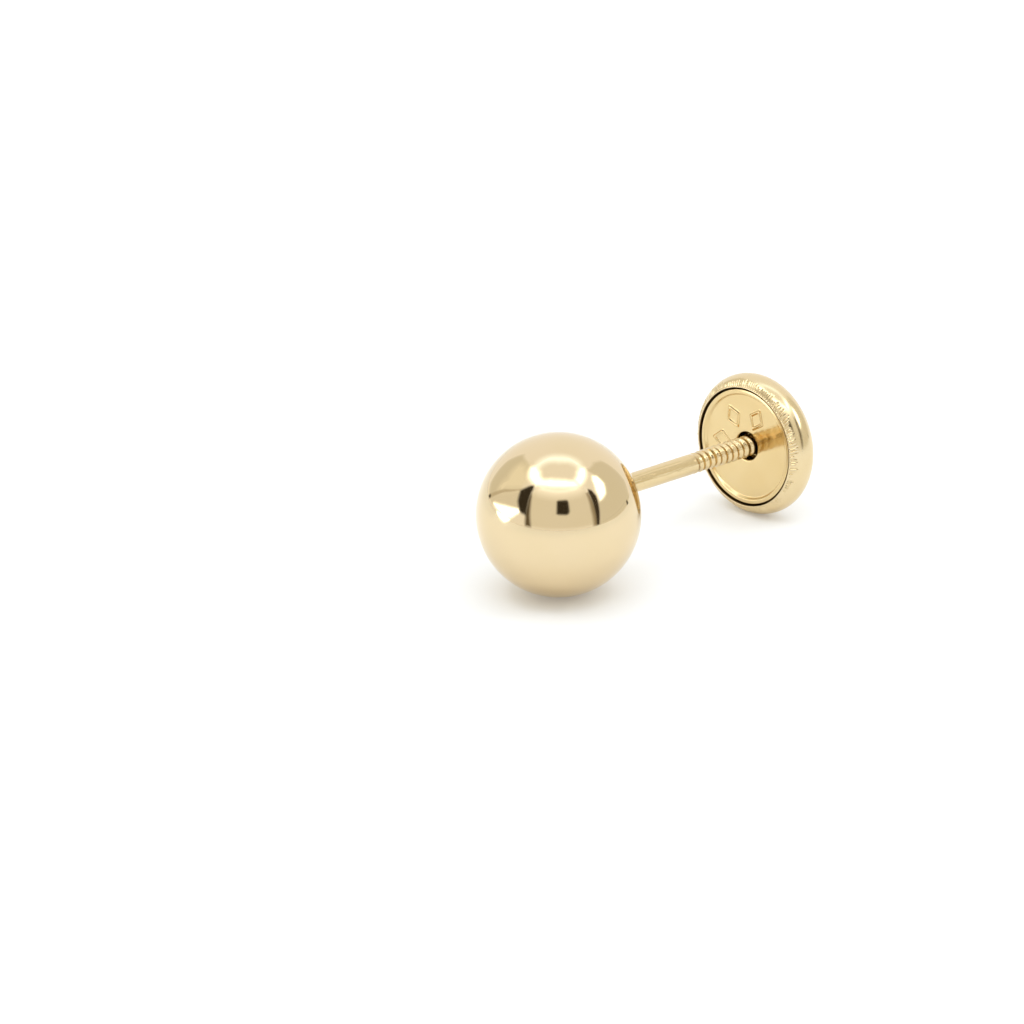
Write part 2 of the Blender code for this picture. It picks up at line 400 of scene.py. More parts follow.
fading = add_node(
    tree,
    "ShaderNodeMapRange",
    {"Value": left.outputs[0], "From Max": given.outputs["Pitch"]},
    interpolation_type="SMOOTHSTEP",
)
turns_along = add_node(
    tree, "ShaderNodeMath", {0: begun.outputs[0], 1: given.outputs["Pitch"]}, operation="DIVIDE"
)
angle = add_node(tree, "ShaderNodeMath", {0: turns_along.outputs[0], 1: 2 * math.pi}, operation="MULTIPLY")
phase = add_node(tree, "ShaderNodeMath", {0: angle.outputs[0], 1: spot.outputs["Y"]}, operation="SUBTRACT")
wave = add_node(tree, "ShaderNodeMath", {0: phase.outputs[0]}, operation="COSINE")
raised = add_node(tree, "ShaderNodeMath", {0: wave.outputs[0], 1: 0.5, 2: 0.5}, operation="MULTIPLY_ADD")
rounded = add_node(tree, "ShaderNodeMath", {0: raised.outputs[0], 1: GROOVE_FULLNESS}, operation="POWER")
unevenness = add_node(
    tree, "ShaderNodeTexNoise", {"W": angle.outputs[0], "Scale": 0.13, "Detail": 1.0}, noise_dimensions="1D"
)
uneven = add_node(
    tree,
    "ShaderNodeMapRange",
    {"Value": unevenness.outputs["Fac"], "From Min": 0.3, "From Max": 0.7, "To Min": 0.6, "To Max": 1.0},
)
uneven_groove = add_node(
    tree, "ShaderNodeMath", {0: rounded.outputs[0], 1: uneven.outputs[0]}, operation="MULTIPLY"
)
grown_depth = add_node(
    tree, "ShaderNodeMath", {0: uneven_groove.outputs[0], 1: growth.outputs[0]}, operation="MULTIPLY"
)
faded_depth = add_node(
    tree, "ShaderNodeMath", {0: grown_depth.outputs[0], 1: fading.outputs[0]}, operation="MULTIPLY"
)
groove = add_node(
    tree, "ShaderNodeMath", {0: faded_depth.outputs[0], 1: given.outputs["Depth"]}, operation="MULTIPLY"
)
crest = add_node(
    tree,
    "ShaderNodeMapRange",
    {
        "Value": growth.outputs[0],
        "To Min": given.outputs["Shank Radius"],
        "To Max": given.outputs["Crest Radius"],
    },
)
wall = add_node(tree, "ShaderNodeMath", {0: crest.outputs[0], 1: groove.outputs[0]}, operation="SUBTRACT")
past = add_node(
    tree, "ShaderNodeMath", {0: station.outputs[0], 1: given.outputs["Thread End"]}, operation="SUBTRACT"
)
tip_length = add_node(
    tree, "ShaderNodeMath", {0: given.outputs["Length"], 1: given.outputs["Thread End"]}, operation="SUBTRACT"
)
tip_share = add_node(
    tree, "ShaderNodeMapRange", {"Value": past.outputs[0], "From Max": tip_length.outputs[0]}
)
tip_square = add_node(tree, "ShaderNodeMath", {0: tip_share.outputs[0], 1: 2.0}, operation="POWER")
tip_left = add_node(tree, "ShaderNodeMath", {0: 1.0, 1: tip_square.outputs[0]}, operation="SUBTRACT")
rounding = add_node(tree, "ShaderNodeMath", {0: tip_left.outputs[0]}, operation="SQRT")
taper = add_node(
    tree,
    "ShaderNodeMapRange",
    {"Value": rounding.outputs[0], "To Min": given.outputs["Tip Radius"], "To Max": wall.outputs[0]},
)
from_middle = add_node(tree, "ShaderNodeMath", {0: spot.outputs["X"]}, operation="ABSOLUTE")
row_gap = add_node(
    tree, "ShaderNodeMath", {0: given.outputs["Length"], 1: given.outputs["Rows"]}, operation="DIVIDE"
)
last_row = add_node(
    tree, "ShaderNodeMath", {0: half.outputs[0], 1: row_gap.outputs[0]}, operation="SUBTRACT"
)
short_of_end = add_node(
    tree, "ShaderNodeMath", {0: from_middle.outputs[0], 1: last_row.outputs[0]}, operation="LESS_THAN"
)
radius = add_node(
    tree, "ShaderNodeMath", {0: taper.outputs[0], 1: short_of_end.outputs[0]}, operation="MULTIPLY"
)
cosine = add_node(tree, "ShaderNodeMath", {0: spot.outputs["Y"]}, operation="COSINE")
sine = add_node(tree, "ShaderNodeMath", {0: spot.outputs["Y"]}, operation="SINE")
sideways = add_node(
    tree, "ShaderNodeMath", {0: radius.outputs[0], 1: cosine.outputs[0]}, operation="MULTIPLY"
)
upwards = add_node(tree, "ShaderNodeMath", {0: radius.outputs[0], 1: sine.outputs[0]}, operation="MULTIPLY")
rolled_up = add_node(
    tree,
    "GeometryNodeSetPosition",
    {
        "Geometry": sheet.outputs["Mesh"],
        "Position": add_node(
            tree,
            "ShaderNodeCombineXYZ",
            {"X": station.outputs[0], "Y": sideways.outputs[0], "Z": upwards.outputs[0]},
        ).outputs[0],
    },
)
sewn = add_node(
    tree, "GeometryNodeMergeByDistance", {"Geometry": rolled_up.outputs[0], "Distance": 10 * WELD}
)
whole = add_node(tree, "GeometryNodeRealizeInstances", {"Geometry": sewn.outputs[0]})
dressed = add_node(
    tree, "GeometryNodeSetMaterial", {"Geometry": whole.outputs[0], "Material": given.outputs["Metal"]}
)
tree.links.new(dressed.outputs[0], made.inputs["Mesh"])

post_ends = [(on_axis.inverted() @ point.co).x for point in frame["nodes"]["ball_post"].data.vertices]
post_start = ball_middle + POST_FOOT * ball_radius
post_length = max(post_ends) - post_start
post_mesh = grown(
    bpy.data.meshes.new("no_mesh"),
    tree,
    {
        "Length": post_length,
        "Thread Start": post_length - TIP_LENGTH - THREAD_LENGTH,
        "Thread End": post_length - TIP_LENGTH,
        "Run-out": THREAD_RUNOUT,
        "Pitch": PITCH,
        "Depth": THREAD_DEPTH,
        "Shank Radius": SHANK_RADIUS,
        "Crest Radius": CREST_RADIUS,
        "Tip Radius": TIP_RADIUS,
        "Rows": POST_ROWS,
        "Sides": POST_SIDES + 1,
        "Metal": drawn_gold,
    },
)
post_form = bmesh.new()
post_form.from_mesh(post_mesh)
bmesh.ops.recalc_face_normals(post_form, faces=post_form.faces)
post_form.to_mesh(post_mesh)
post_form.free()
finished(
    "threaded_post",
    post_mesh,
    on_axis @ Matrix.Translation((post_start, 0.0, 0.0)),
    drawn_gold,
    "stud",
    "polished_gold",
    "ball_post",
)

# The bush: a short tube turned on a lathe from gold rod, tapped for the post's thread.
# Its shoulder bears on the inside of the cup's back, and its chamfered end stands out behind.
BUSH_SIDES = 128
BORE_RADIUS = 0.42 * MM
BUSH_WALL = 0.2 * MM
BUSH_LENGTH = 0.95 * MM
BUSH_EDGE = 0.045 * MM
CORNER_STEPS = 4
SHOULDER_THICKNESS = 0.2 * MM

# Left as the lathe made it: fine rings, and duller than the polished pieces.
turned_gold, tree, shader, place = new_metal("turned_gold_rod")
TOOL_MARK = 0.035 * MM  # a fine feed leaves marks half this far apart: drawn this coarse so that they show
split = add_node(tree, "ShaderNodeSeparateXYZ", {0: place})
flat = add_node(tree, "ShaderNodeCombineXYZ", {"Y": split.outputs["Y"], "Z": split.outputs["Z"]})
out = add_node(tree, "ShaderNodeVectorMath", {0: flat.outputs[0]}, operation="LENGTH")
feed = add_node(tree, "ShaderNodeMath", {0: split.outputs["X"], 1: out.outputs["Value"]}, operation="ADD")
rings = add_node(
    tree,
    "ShaderNodeTexNoise",
    {"W": feed.outputs[0], "Scale": 1 / TOOL_MARK, "Detail": 2.0},
    noise_dimensions="1D",
)
tone = add_node(
    tree,
    "ShaderNodeMix",
    {0: rings.outputs["Fac"], 6: linear("#CDB077"), 7: linear("#DCC38F")},
    data_type="RGBA",
)
gloss = add_node(
    tree,
    "ShaderNodeMapRange",
    {"Value": rings.outputs["Fac"], "From Min": 0.3, "From Max": 0.7, "To Min": 0.14, "To Max": 0.26},
)
ringed = add_node(
    tree, "ShaderNodeBump", {"Height": rings.outputs["Fac"], "Distance": 0.003 * MM, "Strength": 1.0}
)
tree.links.new(tone.outputs[2], shader.inputs["Base Color"])
tree.links.new(gloss.outputs["Result"], shader.inputs["Roughness"])
tree.links.new(ringed.outputs["Normal"], shader.inputs["Normal"])


def corner(station, radius, size, quarter):
    """A rounded corner's points, starting at a quarter turn counted from straight outwards."""
    return arc(station, radius, size, quarter * math.pi / 2, (quarter + 1) * math.pi / 2, CORNER_STEPS)


bush_points = [on_axis.inverted() @ point.co for point in frame["nodes"]["thread_bush"].data.vertices]
bush_end = max(point.x for point in bush_points)
bush_start = bush_end - BUSH_LENGTH
shoulder_radius = max(math.hypot(point.y, point.z) for point in bush_points)
tube_radius = BORE_RADIUS + BUSH_WALL
shoulder_end = max(
    point.x for point in bush_points if math.hypot(point.y, point.z) > (shoulder_radius + tube_radius) / 2
)
shoulder_start = shoulder_end - SHOULDER_THICKNESS
edge = BUSH_EDGE
bush_outline = (
    corner(bush_start + edge, BORE_RADIUS + edge, edge, 2)
    + corner(bush_start + edge, tube_radius - edge, edge, 3)
    + [(shoulder_start, tube_radius)]
    + corner(shoulder_start + edge, shoulder_radius - edge, edge, 3)
    + corner(shoulder_end - edge, shoulder_radius - edge, edge, 0)
    + [(shoulder_end, tube_radius)]
    + corner(bush_end - edge, tube_radius - edge, edge, 0)
    + corner(bush_end - edge, BORE_RADIUS + edge, edge, 1)
)
bush_mesh = turned(bush_outline, sides=BUSH_SIDES, closed=True)
finished("tapped_bush", bush_mesh, on_axis, turned_gold, "bush", "machined_gold", "thread_bush")

# The cup: a hollow back pressed from gold sheet to a rounded ring with a low dome, and buffed outside.
# The tool that closed its lip over the plate has hatched a ragged band of short notches along the lip.
NOTCHES = 148
NOTCH_SIDES = 8
CUP_SIDES = NOTCHES * NOTCH_SIDES
BAND_STEPS = 22
ROLL_STEPS = 20
DOME_STEPS = 8
INSIDE_STEPS = 7
CUP_WALL = 0.15 * MM
ROLL_RADIUS = 0.685 * MM
ROLL_START = math.radians(-63.5)
LIP_RADIUS = 2.2 * MM
LIP_EDGE = 0.02 * MM  # how thick the lip is at its very edge
LIP_BREAK = (0.004 * MM, 0.006 * MM)  # the tiny bevel along that edge
DOME_RISE = 0.17 * MM
HOLE_CLEARANCE = 0.03 * MM
NOTCH_DEPTH = 0.046 * MM
NOTCH_REACH = 0.4 * MM  # how far the longest notches run from the lip
BAND_ROOM = 1.25  # how wide the finely divided band is, in longest notches
NOTCH_LEAN = 0.5  # how far a notch leans along its length, in notch spacings
NOTCH_SWAY = 1.3  # how far the notches wander sideways, in notch spacings
NOTCH_WANDER = 0.5 * MM  # over what length they do
NOTCH_PATCH = 1.6 * MM  # the size of the patches where the tool pressed harder

# Buffed like the ball but less finely, so that it blurs more, with slow ripples left by the press.
shell_gold, tree, shader, place = new_metal("buffed_gold_sheet")
SHEET_RIPPLE = 0.8 * MM
POLISH_LINE = 0.06 * MM
ripple = add_node(tree, "ShaderNodeTexNoise", {"Vector": place, "Scale": 1 / SHEET_RIPPLE, "Detail": 2.0})
split = add_node(tree, "ShaderNodeSeparateXYZ", {0: place})
flat = add_node(tree, "ShaderNodeCombineXYZ", {"Y": split.outputs["Y"], "Z": split.outputs["Z"]})
out = add_node(tree, "ShaderNodeVectorMath", {0: flat.outputs[0]}, operation="LENGTH")
spun = add_node(
    tree,
    "ShaderNodeCombineXYZ",
    {"X": split.outputs["X"], "Y": out.outputs["Value"], "Z": ripple.outputs["Fac"]},
)
polish = add_node(
    tree, "ShaderNodeTexNoise", {"Vector": spun.outputs[0], "Scale": 1 / POLISH_LINE, "Detail": 3.0}
)
tone = add_node(
    tree,
    "ShaderNodeMix",
    {0: ripple.outputs["Fac"], 6: linear("#DEC799"), 7: linear("#E3CFA7")},
    data_type="RGBA",
)
gloss = add_node(
    tree,
    "ShaderNodeMapRange",
    {"Value": polish.outputs["Fac"], "From Min": 0.3, "From Max": 0.75, "To Min": 0.15, "To Max": 0.23},
)
rippled = add_node(
    tree, "ShaderNodeBump", {"Height": ripple.outputs["Fac"], "Distance": 0.004 * MM, "Strength": 1.0}
)
tree.links.new(tone.outputs[2], shader.inputs["Base Color"])
tree.links.new(gloss.outputs["Result"], shader.inputs["Roughness"])
tree.links.new(rippled.outputs["Normal"], shader.inputs["Normal"])

# Pressed sheet inside the cup, dull and painted dark: painted shade on the inside of the lip, where it shows
# in the gap round the plate.
shaded_inside_gold, tree, shader, place = new_metal("painted_shade_inside_sheet")
INSIDE_SHADE_MOTTLE = 0.5 * MM
inside_shade_mottle = add_node(tree, "ShaderNodeTexNoise", {"Vector": place, "Scale": 1 / INSIDE_SHADE_MOTTLE, "Detail": 5.0})
tone = add_node(
    tree,
    "ShaderNodeMix",
    {0: inside_shade_mottle.outputs["Fac"], 6: linear("#5E4623"), 7: linear("#94764A")},
    data_type="RGBA",
)
gloss = add_node(
    tree, "ShaderNodeMapRange", {"Value": inside_shade_mottle.outputs["Fac"], "To Min": 0.4, "To Max": 0.6}
)
tree.links.new(tone.outputs[2], shader.inputs["Base Color"])
tree.links.new(gloss.outputs["Result"], shader.inputs["Roughness"])


def smooth(share):
    """A share from 0 to 1, eased at both ends."""
    share = min(max(share, 0.0), 1.0)
    return share * share * (3.0 - 2.0 * share)


low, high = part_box("back_shell")
rim_radius = (high.y - low.y) / 2
cup_points = [on_axis.inverted() @ point.co for point in frame["nodes"]["back_shell"].data.vertices]
cup_back = max(point.x for point in cup_points)
rim = cup_back - DOME_RISE - ROLL_RADIUS
roll_circle = rim_radius - ROLL_RADIUS
cup_hole = tube_radius + HOLE_CLEARANCE


def dome(radius, wall):
    """A point of the cup's low domed back, or of its inside where a wall is given."""
    share = (radius - cup_hole) / (roll_circle - cup_hole)
    return (rim + ROLL_RADIUS + DOME_RISE * (1.0 - smooth(share)) - wall, radius)


band_end = ROLL_START + NOTCH_REACH * BAND_ROOM / ROLL_RADIUS
inner_roll = ROLL_RADIUS - CUP_WALL
inner_start = -math.acos((LIP_RADIUS - roll_circle) / inner_roll)
lip = rim + ROLL_RADIUS * math.sin(ROLL_START)
dome_shares = [1.0 - step / DOME_STEPS for step in range(1, DOME_STEPS + 1)]
dome_radii = [cup_hole + (roll_circle - cup_hole) * share for share in dome_shares]
cup_outline = (
    arc(rim, roll_circle, ROLL_RADIUS, ROLL_START, band_end, BAND_STEPS)
    + arc(rim, roll_circle, ROLL_RADIUS, band_end, math.pi / 2, ROLL_STEPS)[1:]
    + [dome(radius, 0.0) for radius in dome_radii]
    + [dome(radius, CUP_WALL) for radius in reversed(dome_radii)]
    + arc(rim, roll_circle, inner_roll, math.pi / 2, inner_start, INSIDE_STEPS)
    + [(lip + LIP_EDGE, LIP_RADIUS), (lip + LIP_BREAK[0], LIP_RADIUS + LIP_BREAK[1])]
)
cup_mesh = turned(cup_outline, sides=CUP_SIDES, closed=True)

tree, given, made = node_tree(
    "lip_notches",
    {
        "Notches": "NodeSocketInt",
        "Depth": "NodeSocketFloat",
        "Reach": "NodeSocketFloat",
        "Rim Station": "NodeSocketFloat",
        "Roll Circle": "NodeSocketFloat",
        "Roll Radius": "NodeSocketFloat",
        "Roll Start": "NodeSocketFloat",
        "Outside": "NodeSocketMaterial",
        "Inside": "NodeSocketMaterial",
    },
)
position = add_node(tree, "GeometryNodeInputPosition").outputs[0]
spot = add_node(tree, "ShaderNodeSeparateXYZ", {0: position})
flat = add_node(tree, "ShaderNodeCombineXYZ", {"Y": spot.outputs["Y"], "Z": spot.outputs["Z"]})
out = add_node(tree, "ShaderNodeVectorMath", {0: flat.outputs[0]}, operation="LENGTH")
behind = add_node(
    tree, "ShaderNodeMath", {0: spot.outputs["X"], 1: given.outputs["Rim Station"]}, operation="SUBTRACT"
)
outside = add_node(
    tree, "ShaderNodeMath", {0: out.outputs["Value"], 1: given.outputs["Roll Circle"]}, operation="SUBTRACT"
)
roll_angle = add_node(
    tree, "ShaderNodeMath", {0: behind.outputs[0], 1: outside.outputs[0]}, operation="ARCTAN2"
)
turned_from_lip = add_node(
    tree, "ShaderNodeMath", {0: roll_angle.outputs[0], 1: given.outputs["Roll Start"]}, operation="SUBTRACT"
)
from_lip = add_node(
    tree,
    "ShaderNodeMath",
    {0: turned_from_lip.outputs[0], 1: given.outputs["Roll Radius"]},
    operation="MULTIPLY",
)
round_angle = add_node(
    tree, "ShaderNodeMath", {0: spot.outputs["Z"], 1: spot.outputs["Y"]}, operation="ARCTAN2"
)
turn_share = add_node(
    tree,
    "ShaderNodeMath",
    {0: round_angle.outputs[0], 1: 1 / (2 * math.pi), 2: 0.5},
    operation="MULTIPLY_ADD",
)
lean = add_node(
    tree, "ShaderNodeMath", {0: from_lip.outputs[0], 1: given.outputs["Reach"]}, operation="DIVIDE"
)
counted = add_node(
    tree, "ShaderNodeMath", {0: turn_share.outputs[0], 1: given.outputs["Notches"]}, operation="MULTIPLY"
)
wandering = add_node(
    tree, "ShaderNodeTexNoise", {"Vector": position, "Scale": 1 / NOTCH_WANDER, "Detail": 1.0}
)
wander = add_node(
    tree,
    "ShaderNodeMath",
    {0: wandering.outputs["Fac"], 1: NOTCH_SWAY, 2: -NOTCH_SWAY / 2},
    operation="MULTIPLY_ADD",
)
leaning = add_node(
    tree,
    "ShaderNodeMath",
    {0: lean.outputs[0], 1: NOTCH_LEAN, 2: wander.outputs[0]},
    operation="MULTIPLY_ADD",
)
along_band = add_node(tree, "ShaderNodeMath", {0: counted.outputs[0], 1: leaning.outputs[0]}, operation="ADD")
which = add_node(tree, "ShaderNodeMath", {0: along_band.outputs[0]}, operation="FLOOR")
share = add_node(tree, "ShaderNodeMath", {0: along_band.outputs[0]}, operation="FRACT")
off_middle = add_node(tree, "ShaderNodeMath", {0: share.outputs[0], 1: 0.5}, operation="SUBTRACT")
aside = add_node(tree, "ShaderNodeMath", {0: off_middle.outputs[0]}, operation="ABSOLUTE")
cut = add_node(
    tree,
    "ShaderNodeMapRange",
    {"Value": aside.outputs[0], "From Min": 0.1, "From Max": 0.42, "To Min": 1.0, "To Max": 0.0},
    interpolation_type="SMOOTHSTEP",
)
strength = add_node(tree, "FunctionNodeRandomValue", {"ID": which.outputs[0], "Seed": 4}, data_type="FLOAT")
weak = add_node(tree, "ShaderNodeMath", {0: strength.outputs["Value"], 1: 0.7}, operation="POWER")
longness = add_node(tree, "FunctionNodeRandomValue", {"ID": which.outputs[0], "Seed": 9}, data_type="FLOAT")
notch_end = add_node(
    tree,
    "ShaderNodeMapRange",
    {"Value": longness.outputs["Value"], "To Min": 0.45, "To Max": 1.0},
)
gone = add_node(tree, "ShaderNodeMath", {0: lean.outputs[0], 1: notch_end.outputs[0]}, operation="DIVIDE")
ending = add_node(
    tree,
    "ShaderNodeMapRange",
    {"Value": gone.outputs[0], "From Min": 0.6, "From Max": 1.05, "To Min": 1.0, "To Max": 0.0},
    interpolation_type="SMOOTHSTEP",
)
starting = add_node(
    tree,
    "ShaderNodeMapRange",
    {"Value": lean.outputs[0], "From Min": 0.04, "From Max": 0.16},
    interpolation_type="SMOOTHSTEP",
)
patchy = add_node(
    tree, "ShaderNodeTexNoise", {"Vector": position, "Scale": 1 / NOTCH_PATCH, "Detail": 1.0}
)
patch = add_node(
    tree,
    "ShaderNodeMapRange",
    {"Value": patchy.outputs["Fac"], "From Min": 0.3, "From Max": 0.6, "To Min": 0.8, "To Max": 1.0},
    interpolation_type="SMOOTHSTEP",
)
shapes = add_node(tree, "ShaderNodeMath", {0: cut.outputs[0], 1: weak.outputs[0]}, operation="MULTIPLY")
ends = add_node(tree, "ShaderNodeMath", {0: ending.outputs[0], 1: starting.outputs[0]}, operation="MULTIPLY")
carved = add_node(tree, "ShaderNodeMath", {0: shapes.outputs[0], 1: ends.outputs[0]}, operation="MULTIPLY")
patched = add_node(tree, "ShaderNodeMath", {0: carved.outputs[0], 1: patch.outputs[0]}, operation="MULTIPLY")
normal = add_node(tree, "GeometryNodeInputNormal")
faced = add_node(tree, "ShaderNodeSeparateXYZ", {0: normal.outputs[0]})
outward = add_node(tree, "ShaderNodeVectorMath", {0: flat.outputs[0]}, operation="NORMALIZE")
faced_out = add_node(
    tree, "ShaderNodeVectorMath", {0: normal.outputs[0], 1: outward.outputs[0]}, operation="DOT_PRODUCT"
)
beyond = add_node(tree, "ShaderNodeMath", {0: outside.outputs[0], 1: 0.0}, operation="MAXIMUM")
facing_out = add_node(
    tree, "ShaderNodeMath", {0: beyond.outputs[0], 1: faced_out.outputs["Value"]}, operation="MULTIPLY"
)
facing = add_node(
    tree,
    "ShaderNodeMath",
    {0: behind.outputs[0], 1: faced.outputs["X"], 2: facing_out.outputs[0]},
    operation="MULTIPLY_ADD",
)
is_outside = add_node(tree, "ShaderNodeMath", {0: facing.outputs[0], 1: 0.0}, operation="GREATER_THAN")
is_inside = add_node(tree, "ShaderNodeMath", {0: facing.outputs[0], 1: 0.0}, operation="LESS_THAN")
sunk = add_node(
    tree, "ShaderNodeMath", {0: patched.outputs[0], 1: given.outputs["Depth"]}, operation="MULTIPLY"
)
sunk_outside = add_node(
    tree, "ShaderNodeMath", {0: sunk.outputs[0], 1: is_outside.outputs[0]}, operation="MULTIPLY"
)
inwards = add_node(tree, "ShaderNodeMath", {0: sunk_outside.outputs[0], 1: -1.0}, operation="MULTIPLY")
push = add_node(
    tree,
    "ShaderNodeVectorMath",
    {0: normal.outputs[0], "Scale": inwards.outputs[0]},
    operation="SCALE",
)
hatched = add_node(
    tree, "GeometryNodeSetPosition", {"Geometry": given.outputs["Mesh"], "Offset": push.outputs[0]}
)
whole = add_node(tree, "GeometryNodeRealizeInstances", {"Geometry": hatched.outputs[0]})
dressed = add_node(
    tree, "GeometryNodeSetMaterial", {"Geometry": whole.outputs[0], "Material": given.outputs["Outside"]}
)
# Faces turned into the cup take the inside sheet, which is painted dark as shade.
inside_shaded = add_node(
    tree,
    "GeometryNodeSetMaterial",
    {
        "Geometry": dressed.outputs[0],
        "Selection": is_inside.outputs[0],
        "Material": given.outputs["Inside"],
    },
)
tree.links.new(inside_shaded.outputs[0], made.inputs["Mesh"])

cup_mesh = grown(
    cup_mesh,
    tree,
    {
        "Notches": NOTCHES,
        "Depth": NOTCH_DEPTH,
        "Reach": NOTCH_REACH,
        "Rim Station": rim,
        "Roll Circle": roll_circle,
        "Roll Radius": ROLL_RADIUS,
        "Roll Start": ROLL_START,
        "Outside": shell_gold,
        # the inside faces take the dark sheet: painted shade
        "Inside": shaded_inside_gold,
    },
)
finished("pressed_cup", cup_mesh, on_axis, shell_gold, "back", "polished_gold", "back_shell")

# The plate: a lid pressed from the same sheet, with a raised rim along its edge, set in the cup's mouth.
# The post goes through its rounded hole, and three plain lozenges stand up from one half of its face.
PLATE_SIDES = 360
RIM_HEIGHT = 0.1 * MM
RIM_START = 1.89 * MM
RIM_SLOPE = 0.1 * MM
RIM_TOP = 2.02 * MM
RIM_FALL = 0.14  # the share of its height that the rim loses again at the plate's edge
HOLE_ROUNDING = 0.06 * MM
EDGE_ROUNDING = 0.035 * MM
ROUNDING_STEPS = 8
FACE_STEPS = 108
PLATE_WALL = 0.16 * MM
MARKS = 3
MARK_FIRST = math.radians(-20)
MARK_SPACING = math.radians(56)
MARK_CIRCLE = 1.18 * MM
MARK_LENGTH = 0.98 * MM
MARK_WIDTH = 0.74 * MM
MARK_LINE = 0.11 * MM
MARK_HEIGHT = 0.045 * MM
MARK_SLOPE = 0.62  # from a line's middle to its foot, in line widths

# Left as the press made it: bright but not buffed, with a slow swell and a faint peel, and a warmer tone.
pressed_gold, tree, shader, place = new_metal("pressed_gold_plate")
PRESS_GRAIN = 0.22 * MM
PRESS_SWELL = 1.1 * MM
soft = add_node(tree, "ShaderNodeTexNoise", {"Vector": place, "Scale": 1 / PRESS_SWELL, "Detail": 1.0})
peel = add_node(tree, "ShaderNodeTexNoise", {"Vector": place, "Scale": 1 / PRESS_GRAIN, "Detail": 3.0})
tone = add_node(
    tree,
    "ShaderNodeMix",
    {0: soft.outputs["Fac"], 6: linear("#DBBF89"), 7: linear("#E2CA98")},
    data_type="RGBA",
)
gloss = add_node(
    tree,
    "ShaderNodeMapRange",
    {"Value": peel.outputs["Fac"], "From Min": 0.3, "From Max": 0.7, "To Min": 0.1, "To Max": 0.16},
)
swelled = add_node(
    tree, "ShaderNodeBump", {"Height": soft.outputs["Fac"], "Distance": 0.01 * MM, "Strength": 1.0}
)
peeled = add_node(
    tree,
    "ShaderNodeBump",
    {
        "Height": peel.outputs["Fac"],
        "Distance": 0.0009 * MM,
        "Strength": 1.0,
        "Normal": swelled.outputs["Normal"],
    },
)
tree.links.new(tone.outputs[2], shader.inputs["Base Color"])
tree.links.new(gloss.outputs["Result"], shader.inputs["Roughness"])
tree.links.new(peeled.outputs["Normal"], shader.inputs["Normal"])

low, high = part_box("back_plate")
plate_radius = (high.y - low.y) / 2
plate_points = [on_axis.inverted() @ point.co for point in frame["nodes"]["back_plate"].data.vertices]
hole_radius = min(math.hypot(point.y, point.z) for point in plate_points)
skirt_end = max(point.x for point in plate_points)


def face_station(radius):
    """The station of the plate's front at a radius: flat, then up a slope to the rim's crown."""
    rise = smooth((radius - RIM_START) / RIM_SLOPE)
    fall = smooth((radius - RIM_TOP) / (plate_radius - RIM_TOP))
    return -RIM_HEIGHT * (rise - RIM_FALL * fall)


def mark_height(y, z):
    """How far the three lozenges' soft-edged lines stand up at a point of the face."""
    height = 0.0
    for mark in range(MARKS):
        turn = MARK_FIRST + mark * MARK_SPACING
        along = math.hypot(y * math.sin(turn) + z * math.cos(turn) - MARK_CIRCLE, MARK_LINE / 4)
        sideways = math.hypot(y * math.cos(turn) - z * math.sin(turn), MARK_LINE / 4)
        a, b = MARK_LENGTH / 2, MARK_WIDTH / 2
        inset = (1.0 - along / a - sideways / b) * a * b / math.hypot(a, b)
        off_line = (inset - MARK_LINE / 2) / (MARK_SLOPE * MARK_LINE)
        if abs(off_line) < 1.0:
            height = max(height, MARK_HEIGHT * (1.0 - off_line * off_line) ** 2)
    return height


face_start = hole_radius + HOLE_ROUNDING
face_end = plate_radius - EDGE_ROUNDING
face_radii = [
    face_start + (face_end - face_start) * step / FACE_STEPS for step in range(1, FACE_STEPS + 1)
]
edge_station = face_station(face_end) + EDGE_ROUNDING
plate_outline = (
    arc(HOLE_ROUNDING, face_start, HOLE_ROUNDING, -math.pi, -math.pi / 2, ROUNDING_STEPS)
    + [(face_station(radius), radius) for radius in face_radii]
    + arc(edge_station, face_end, EDGE_ROUNDING, -math.pi / 2, 0.0, ROUNDING_STEPS)[1:]
    + [
        (skirt_end, plate_radius),
        (skirt_end, plate_radius - PLATE_WALL),
        (PLATE_WALL, plate_radius - PLATE_WALL),
        (PLATE_WALL, hole_radius),
    ]
)
plate_mesh = turned(plate_outline, sides=PLATE_SIDES, closed=True)
for point in plate_mesh.vertices:
    if point.co.x < HOLE_ROUNDING / 4:
        point.co.x -= mark_height(point.co.y, point.co.z)
finished("pressed_plate", plate_mesh, on_axis, pressed_gold, "back", "pressed_gold", "back_plate")

# The floor: a sheet of matt opal acrylic, lit a little from below, as jewellery is on a light table.
# It is wide enough to fill every view. Its glow keeps the shadows small; the stronger glow round the middle,
# fading away from it, is a painted pool of light.
FLOOR_SIZE = 4.0
GLOW_START = 14.0 * MM
GLOW_END = 42.0 * MM
GLOW_NEAR = 0.13
GLOW_FAR = 0.053

opal_acrylic = bpy.data.materials.new("matt_opal_acrylic")
opal_acrylic.use_nodes = True
tree = opal_acrylic.node_tree
shader = tree.nodes["Principled BSDF"]
shader.inputs["Base Color"].default_value = linear("#EEF0F2")
shader.inputs["Roughness"].default_value = 0.9
shader.inputs["Specular IOR Level"].default_value = 0.1
shader.inputs["Emission Color"].default_value = linear("#FFFFFF")
far_out = add_node(
    tree,
    "ShaderNodeVectorMath",
    {0: add_node(tree, "ShaderNodeTexCoord").outputs["Object"]},
    operation="LENGTH",
)
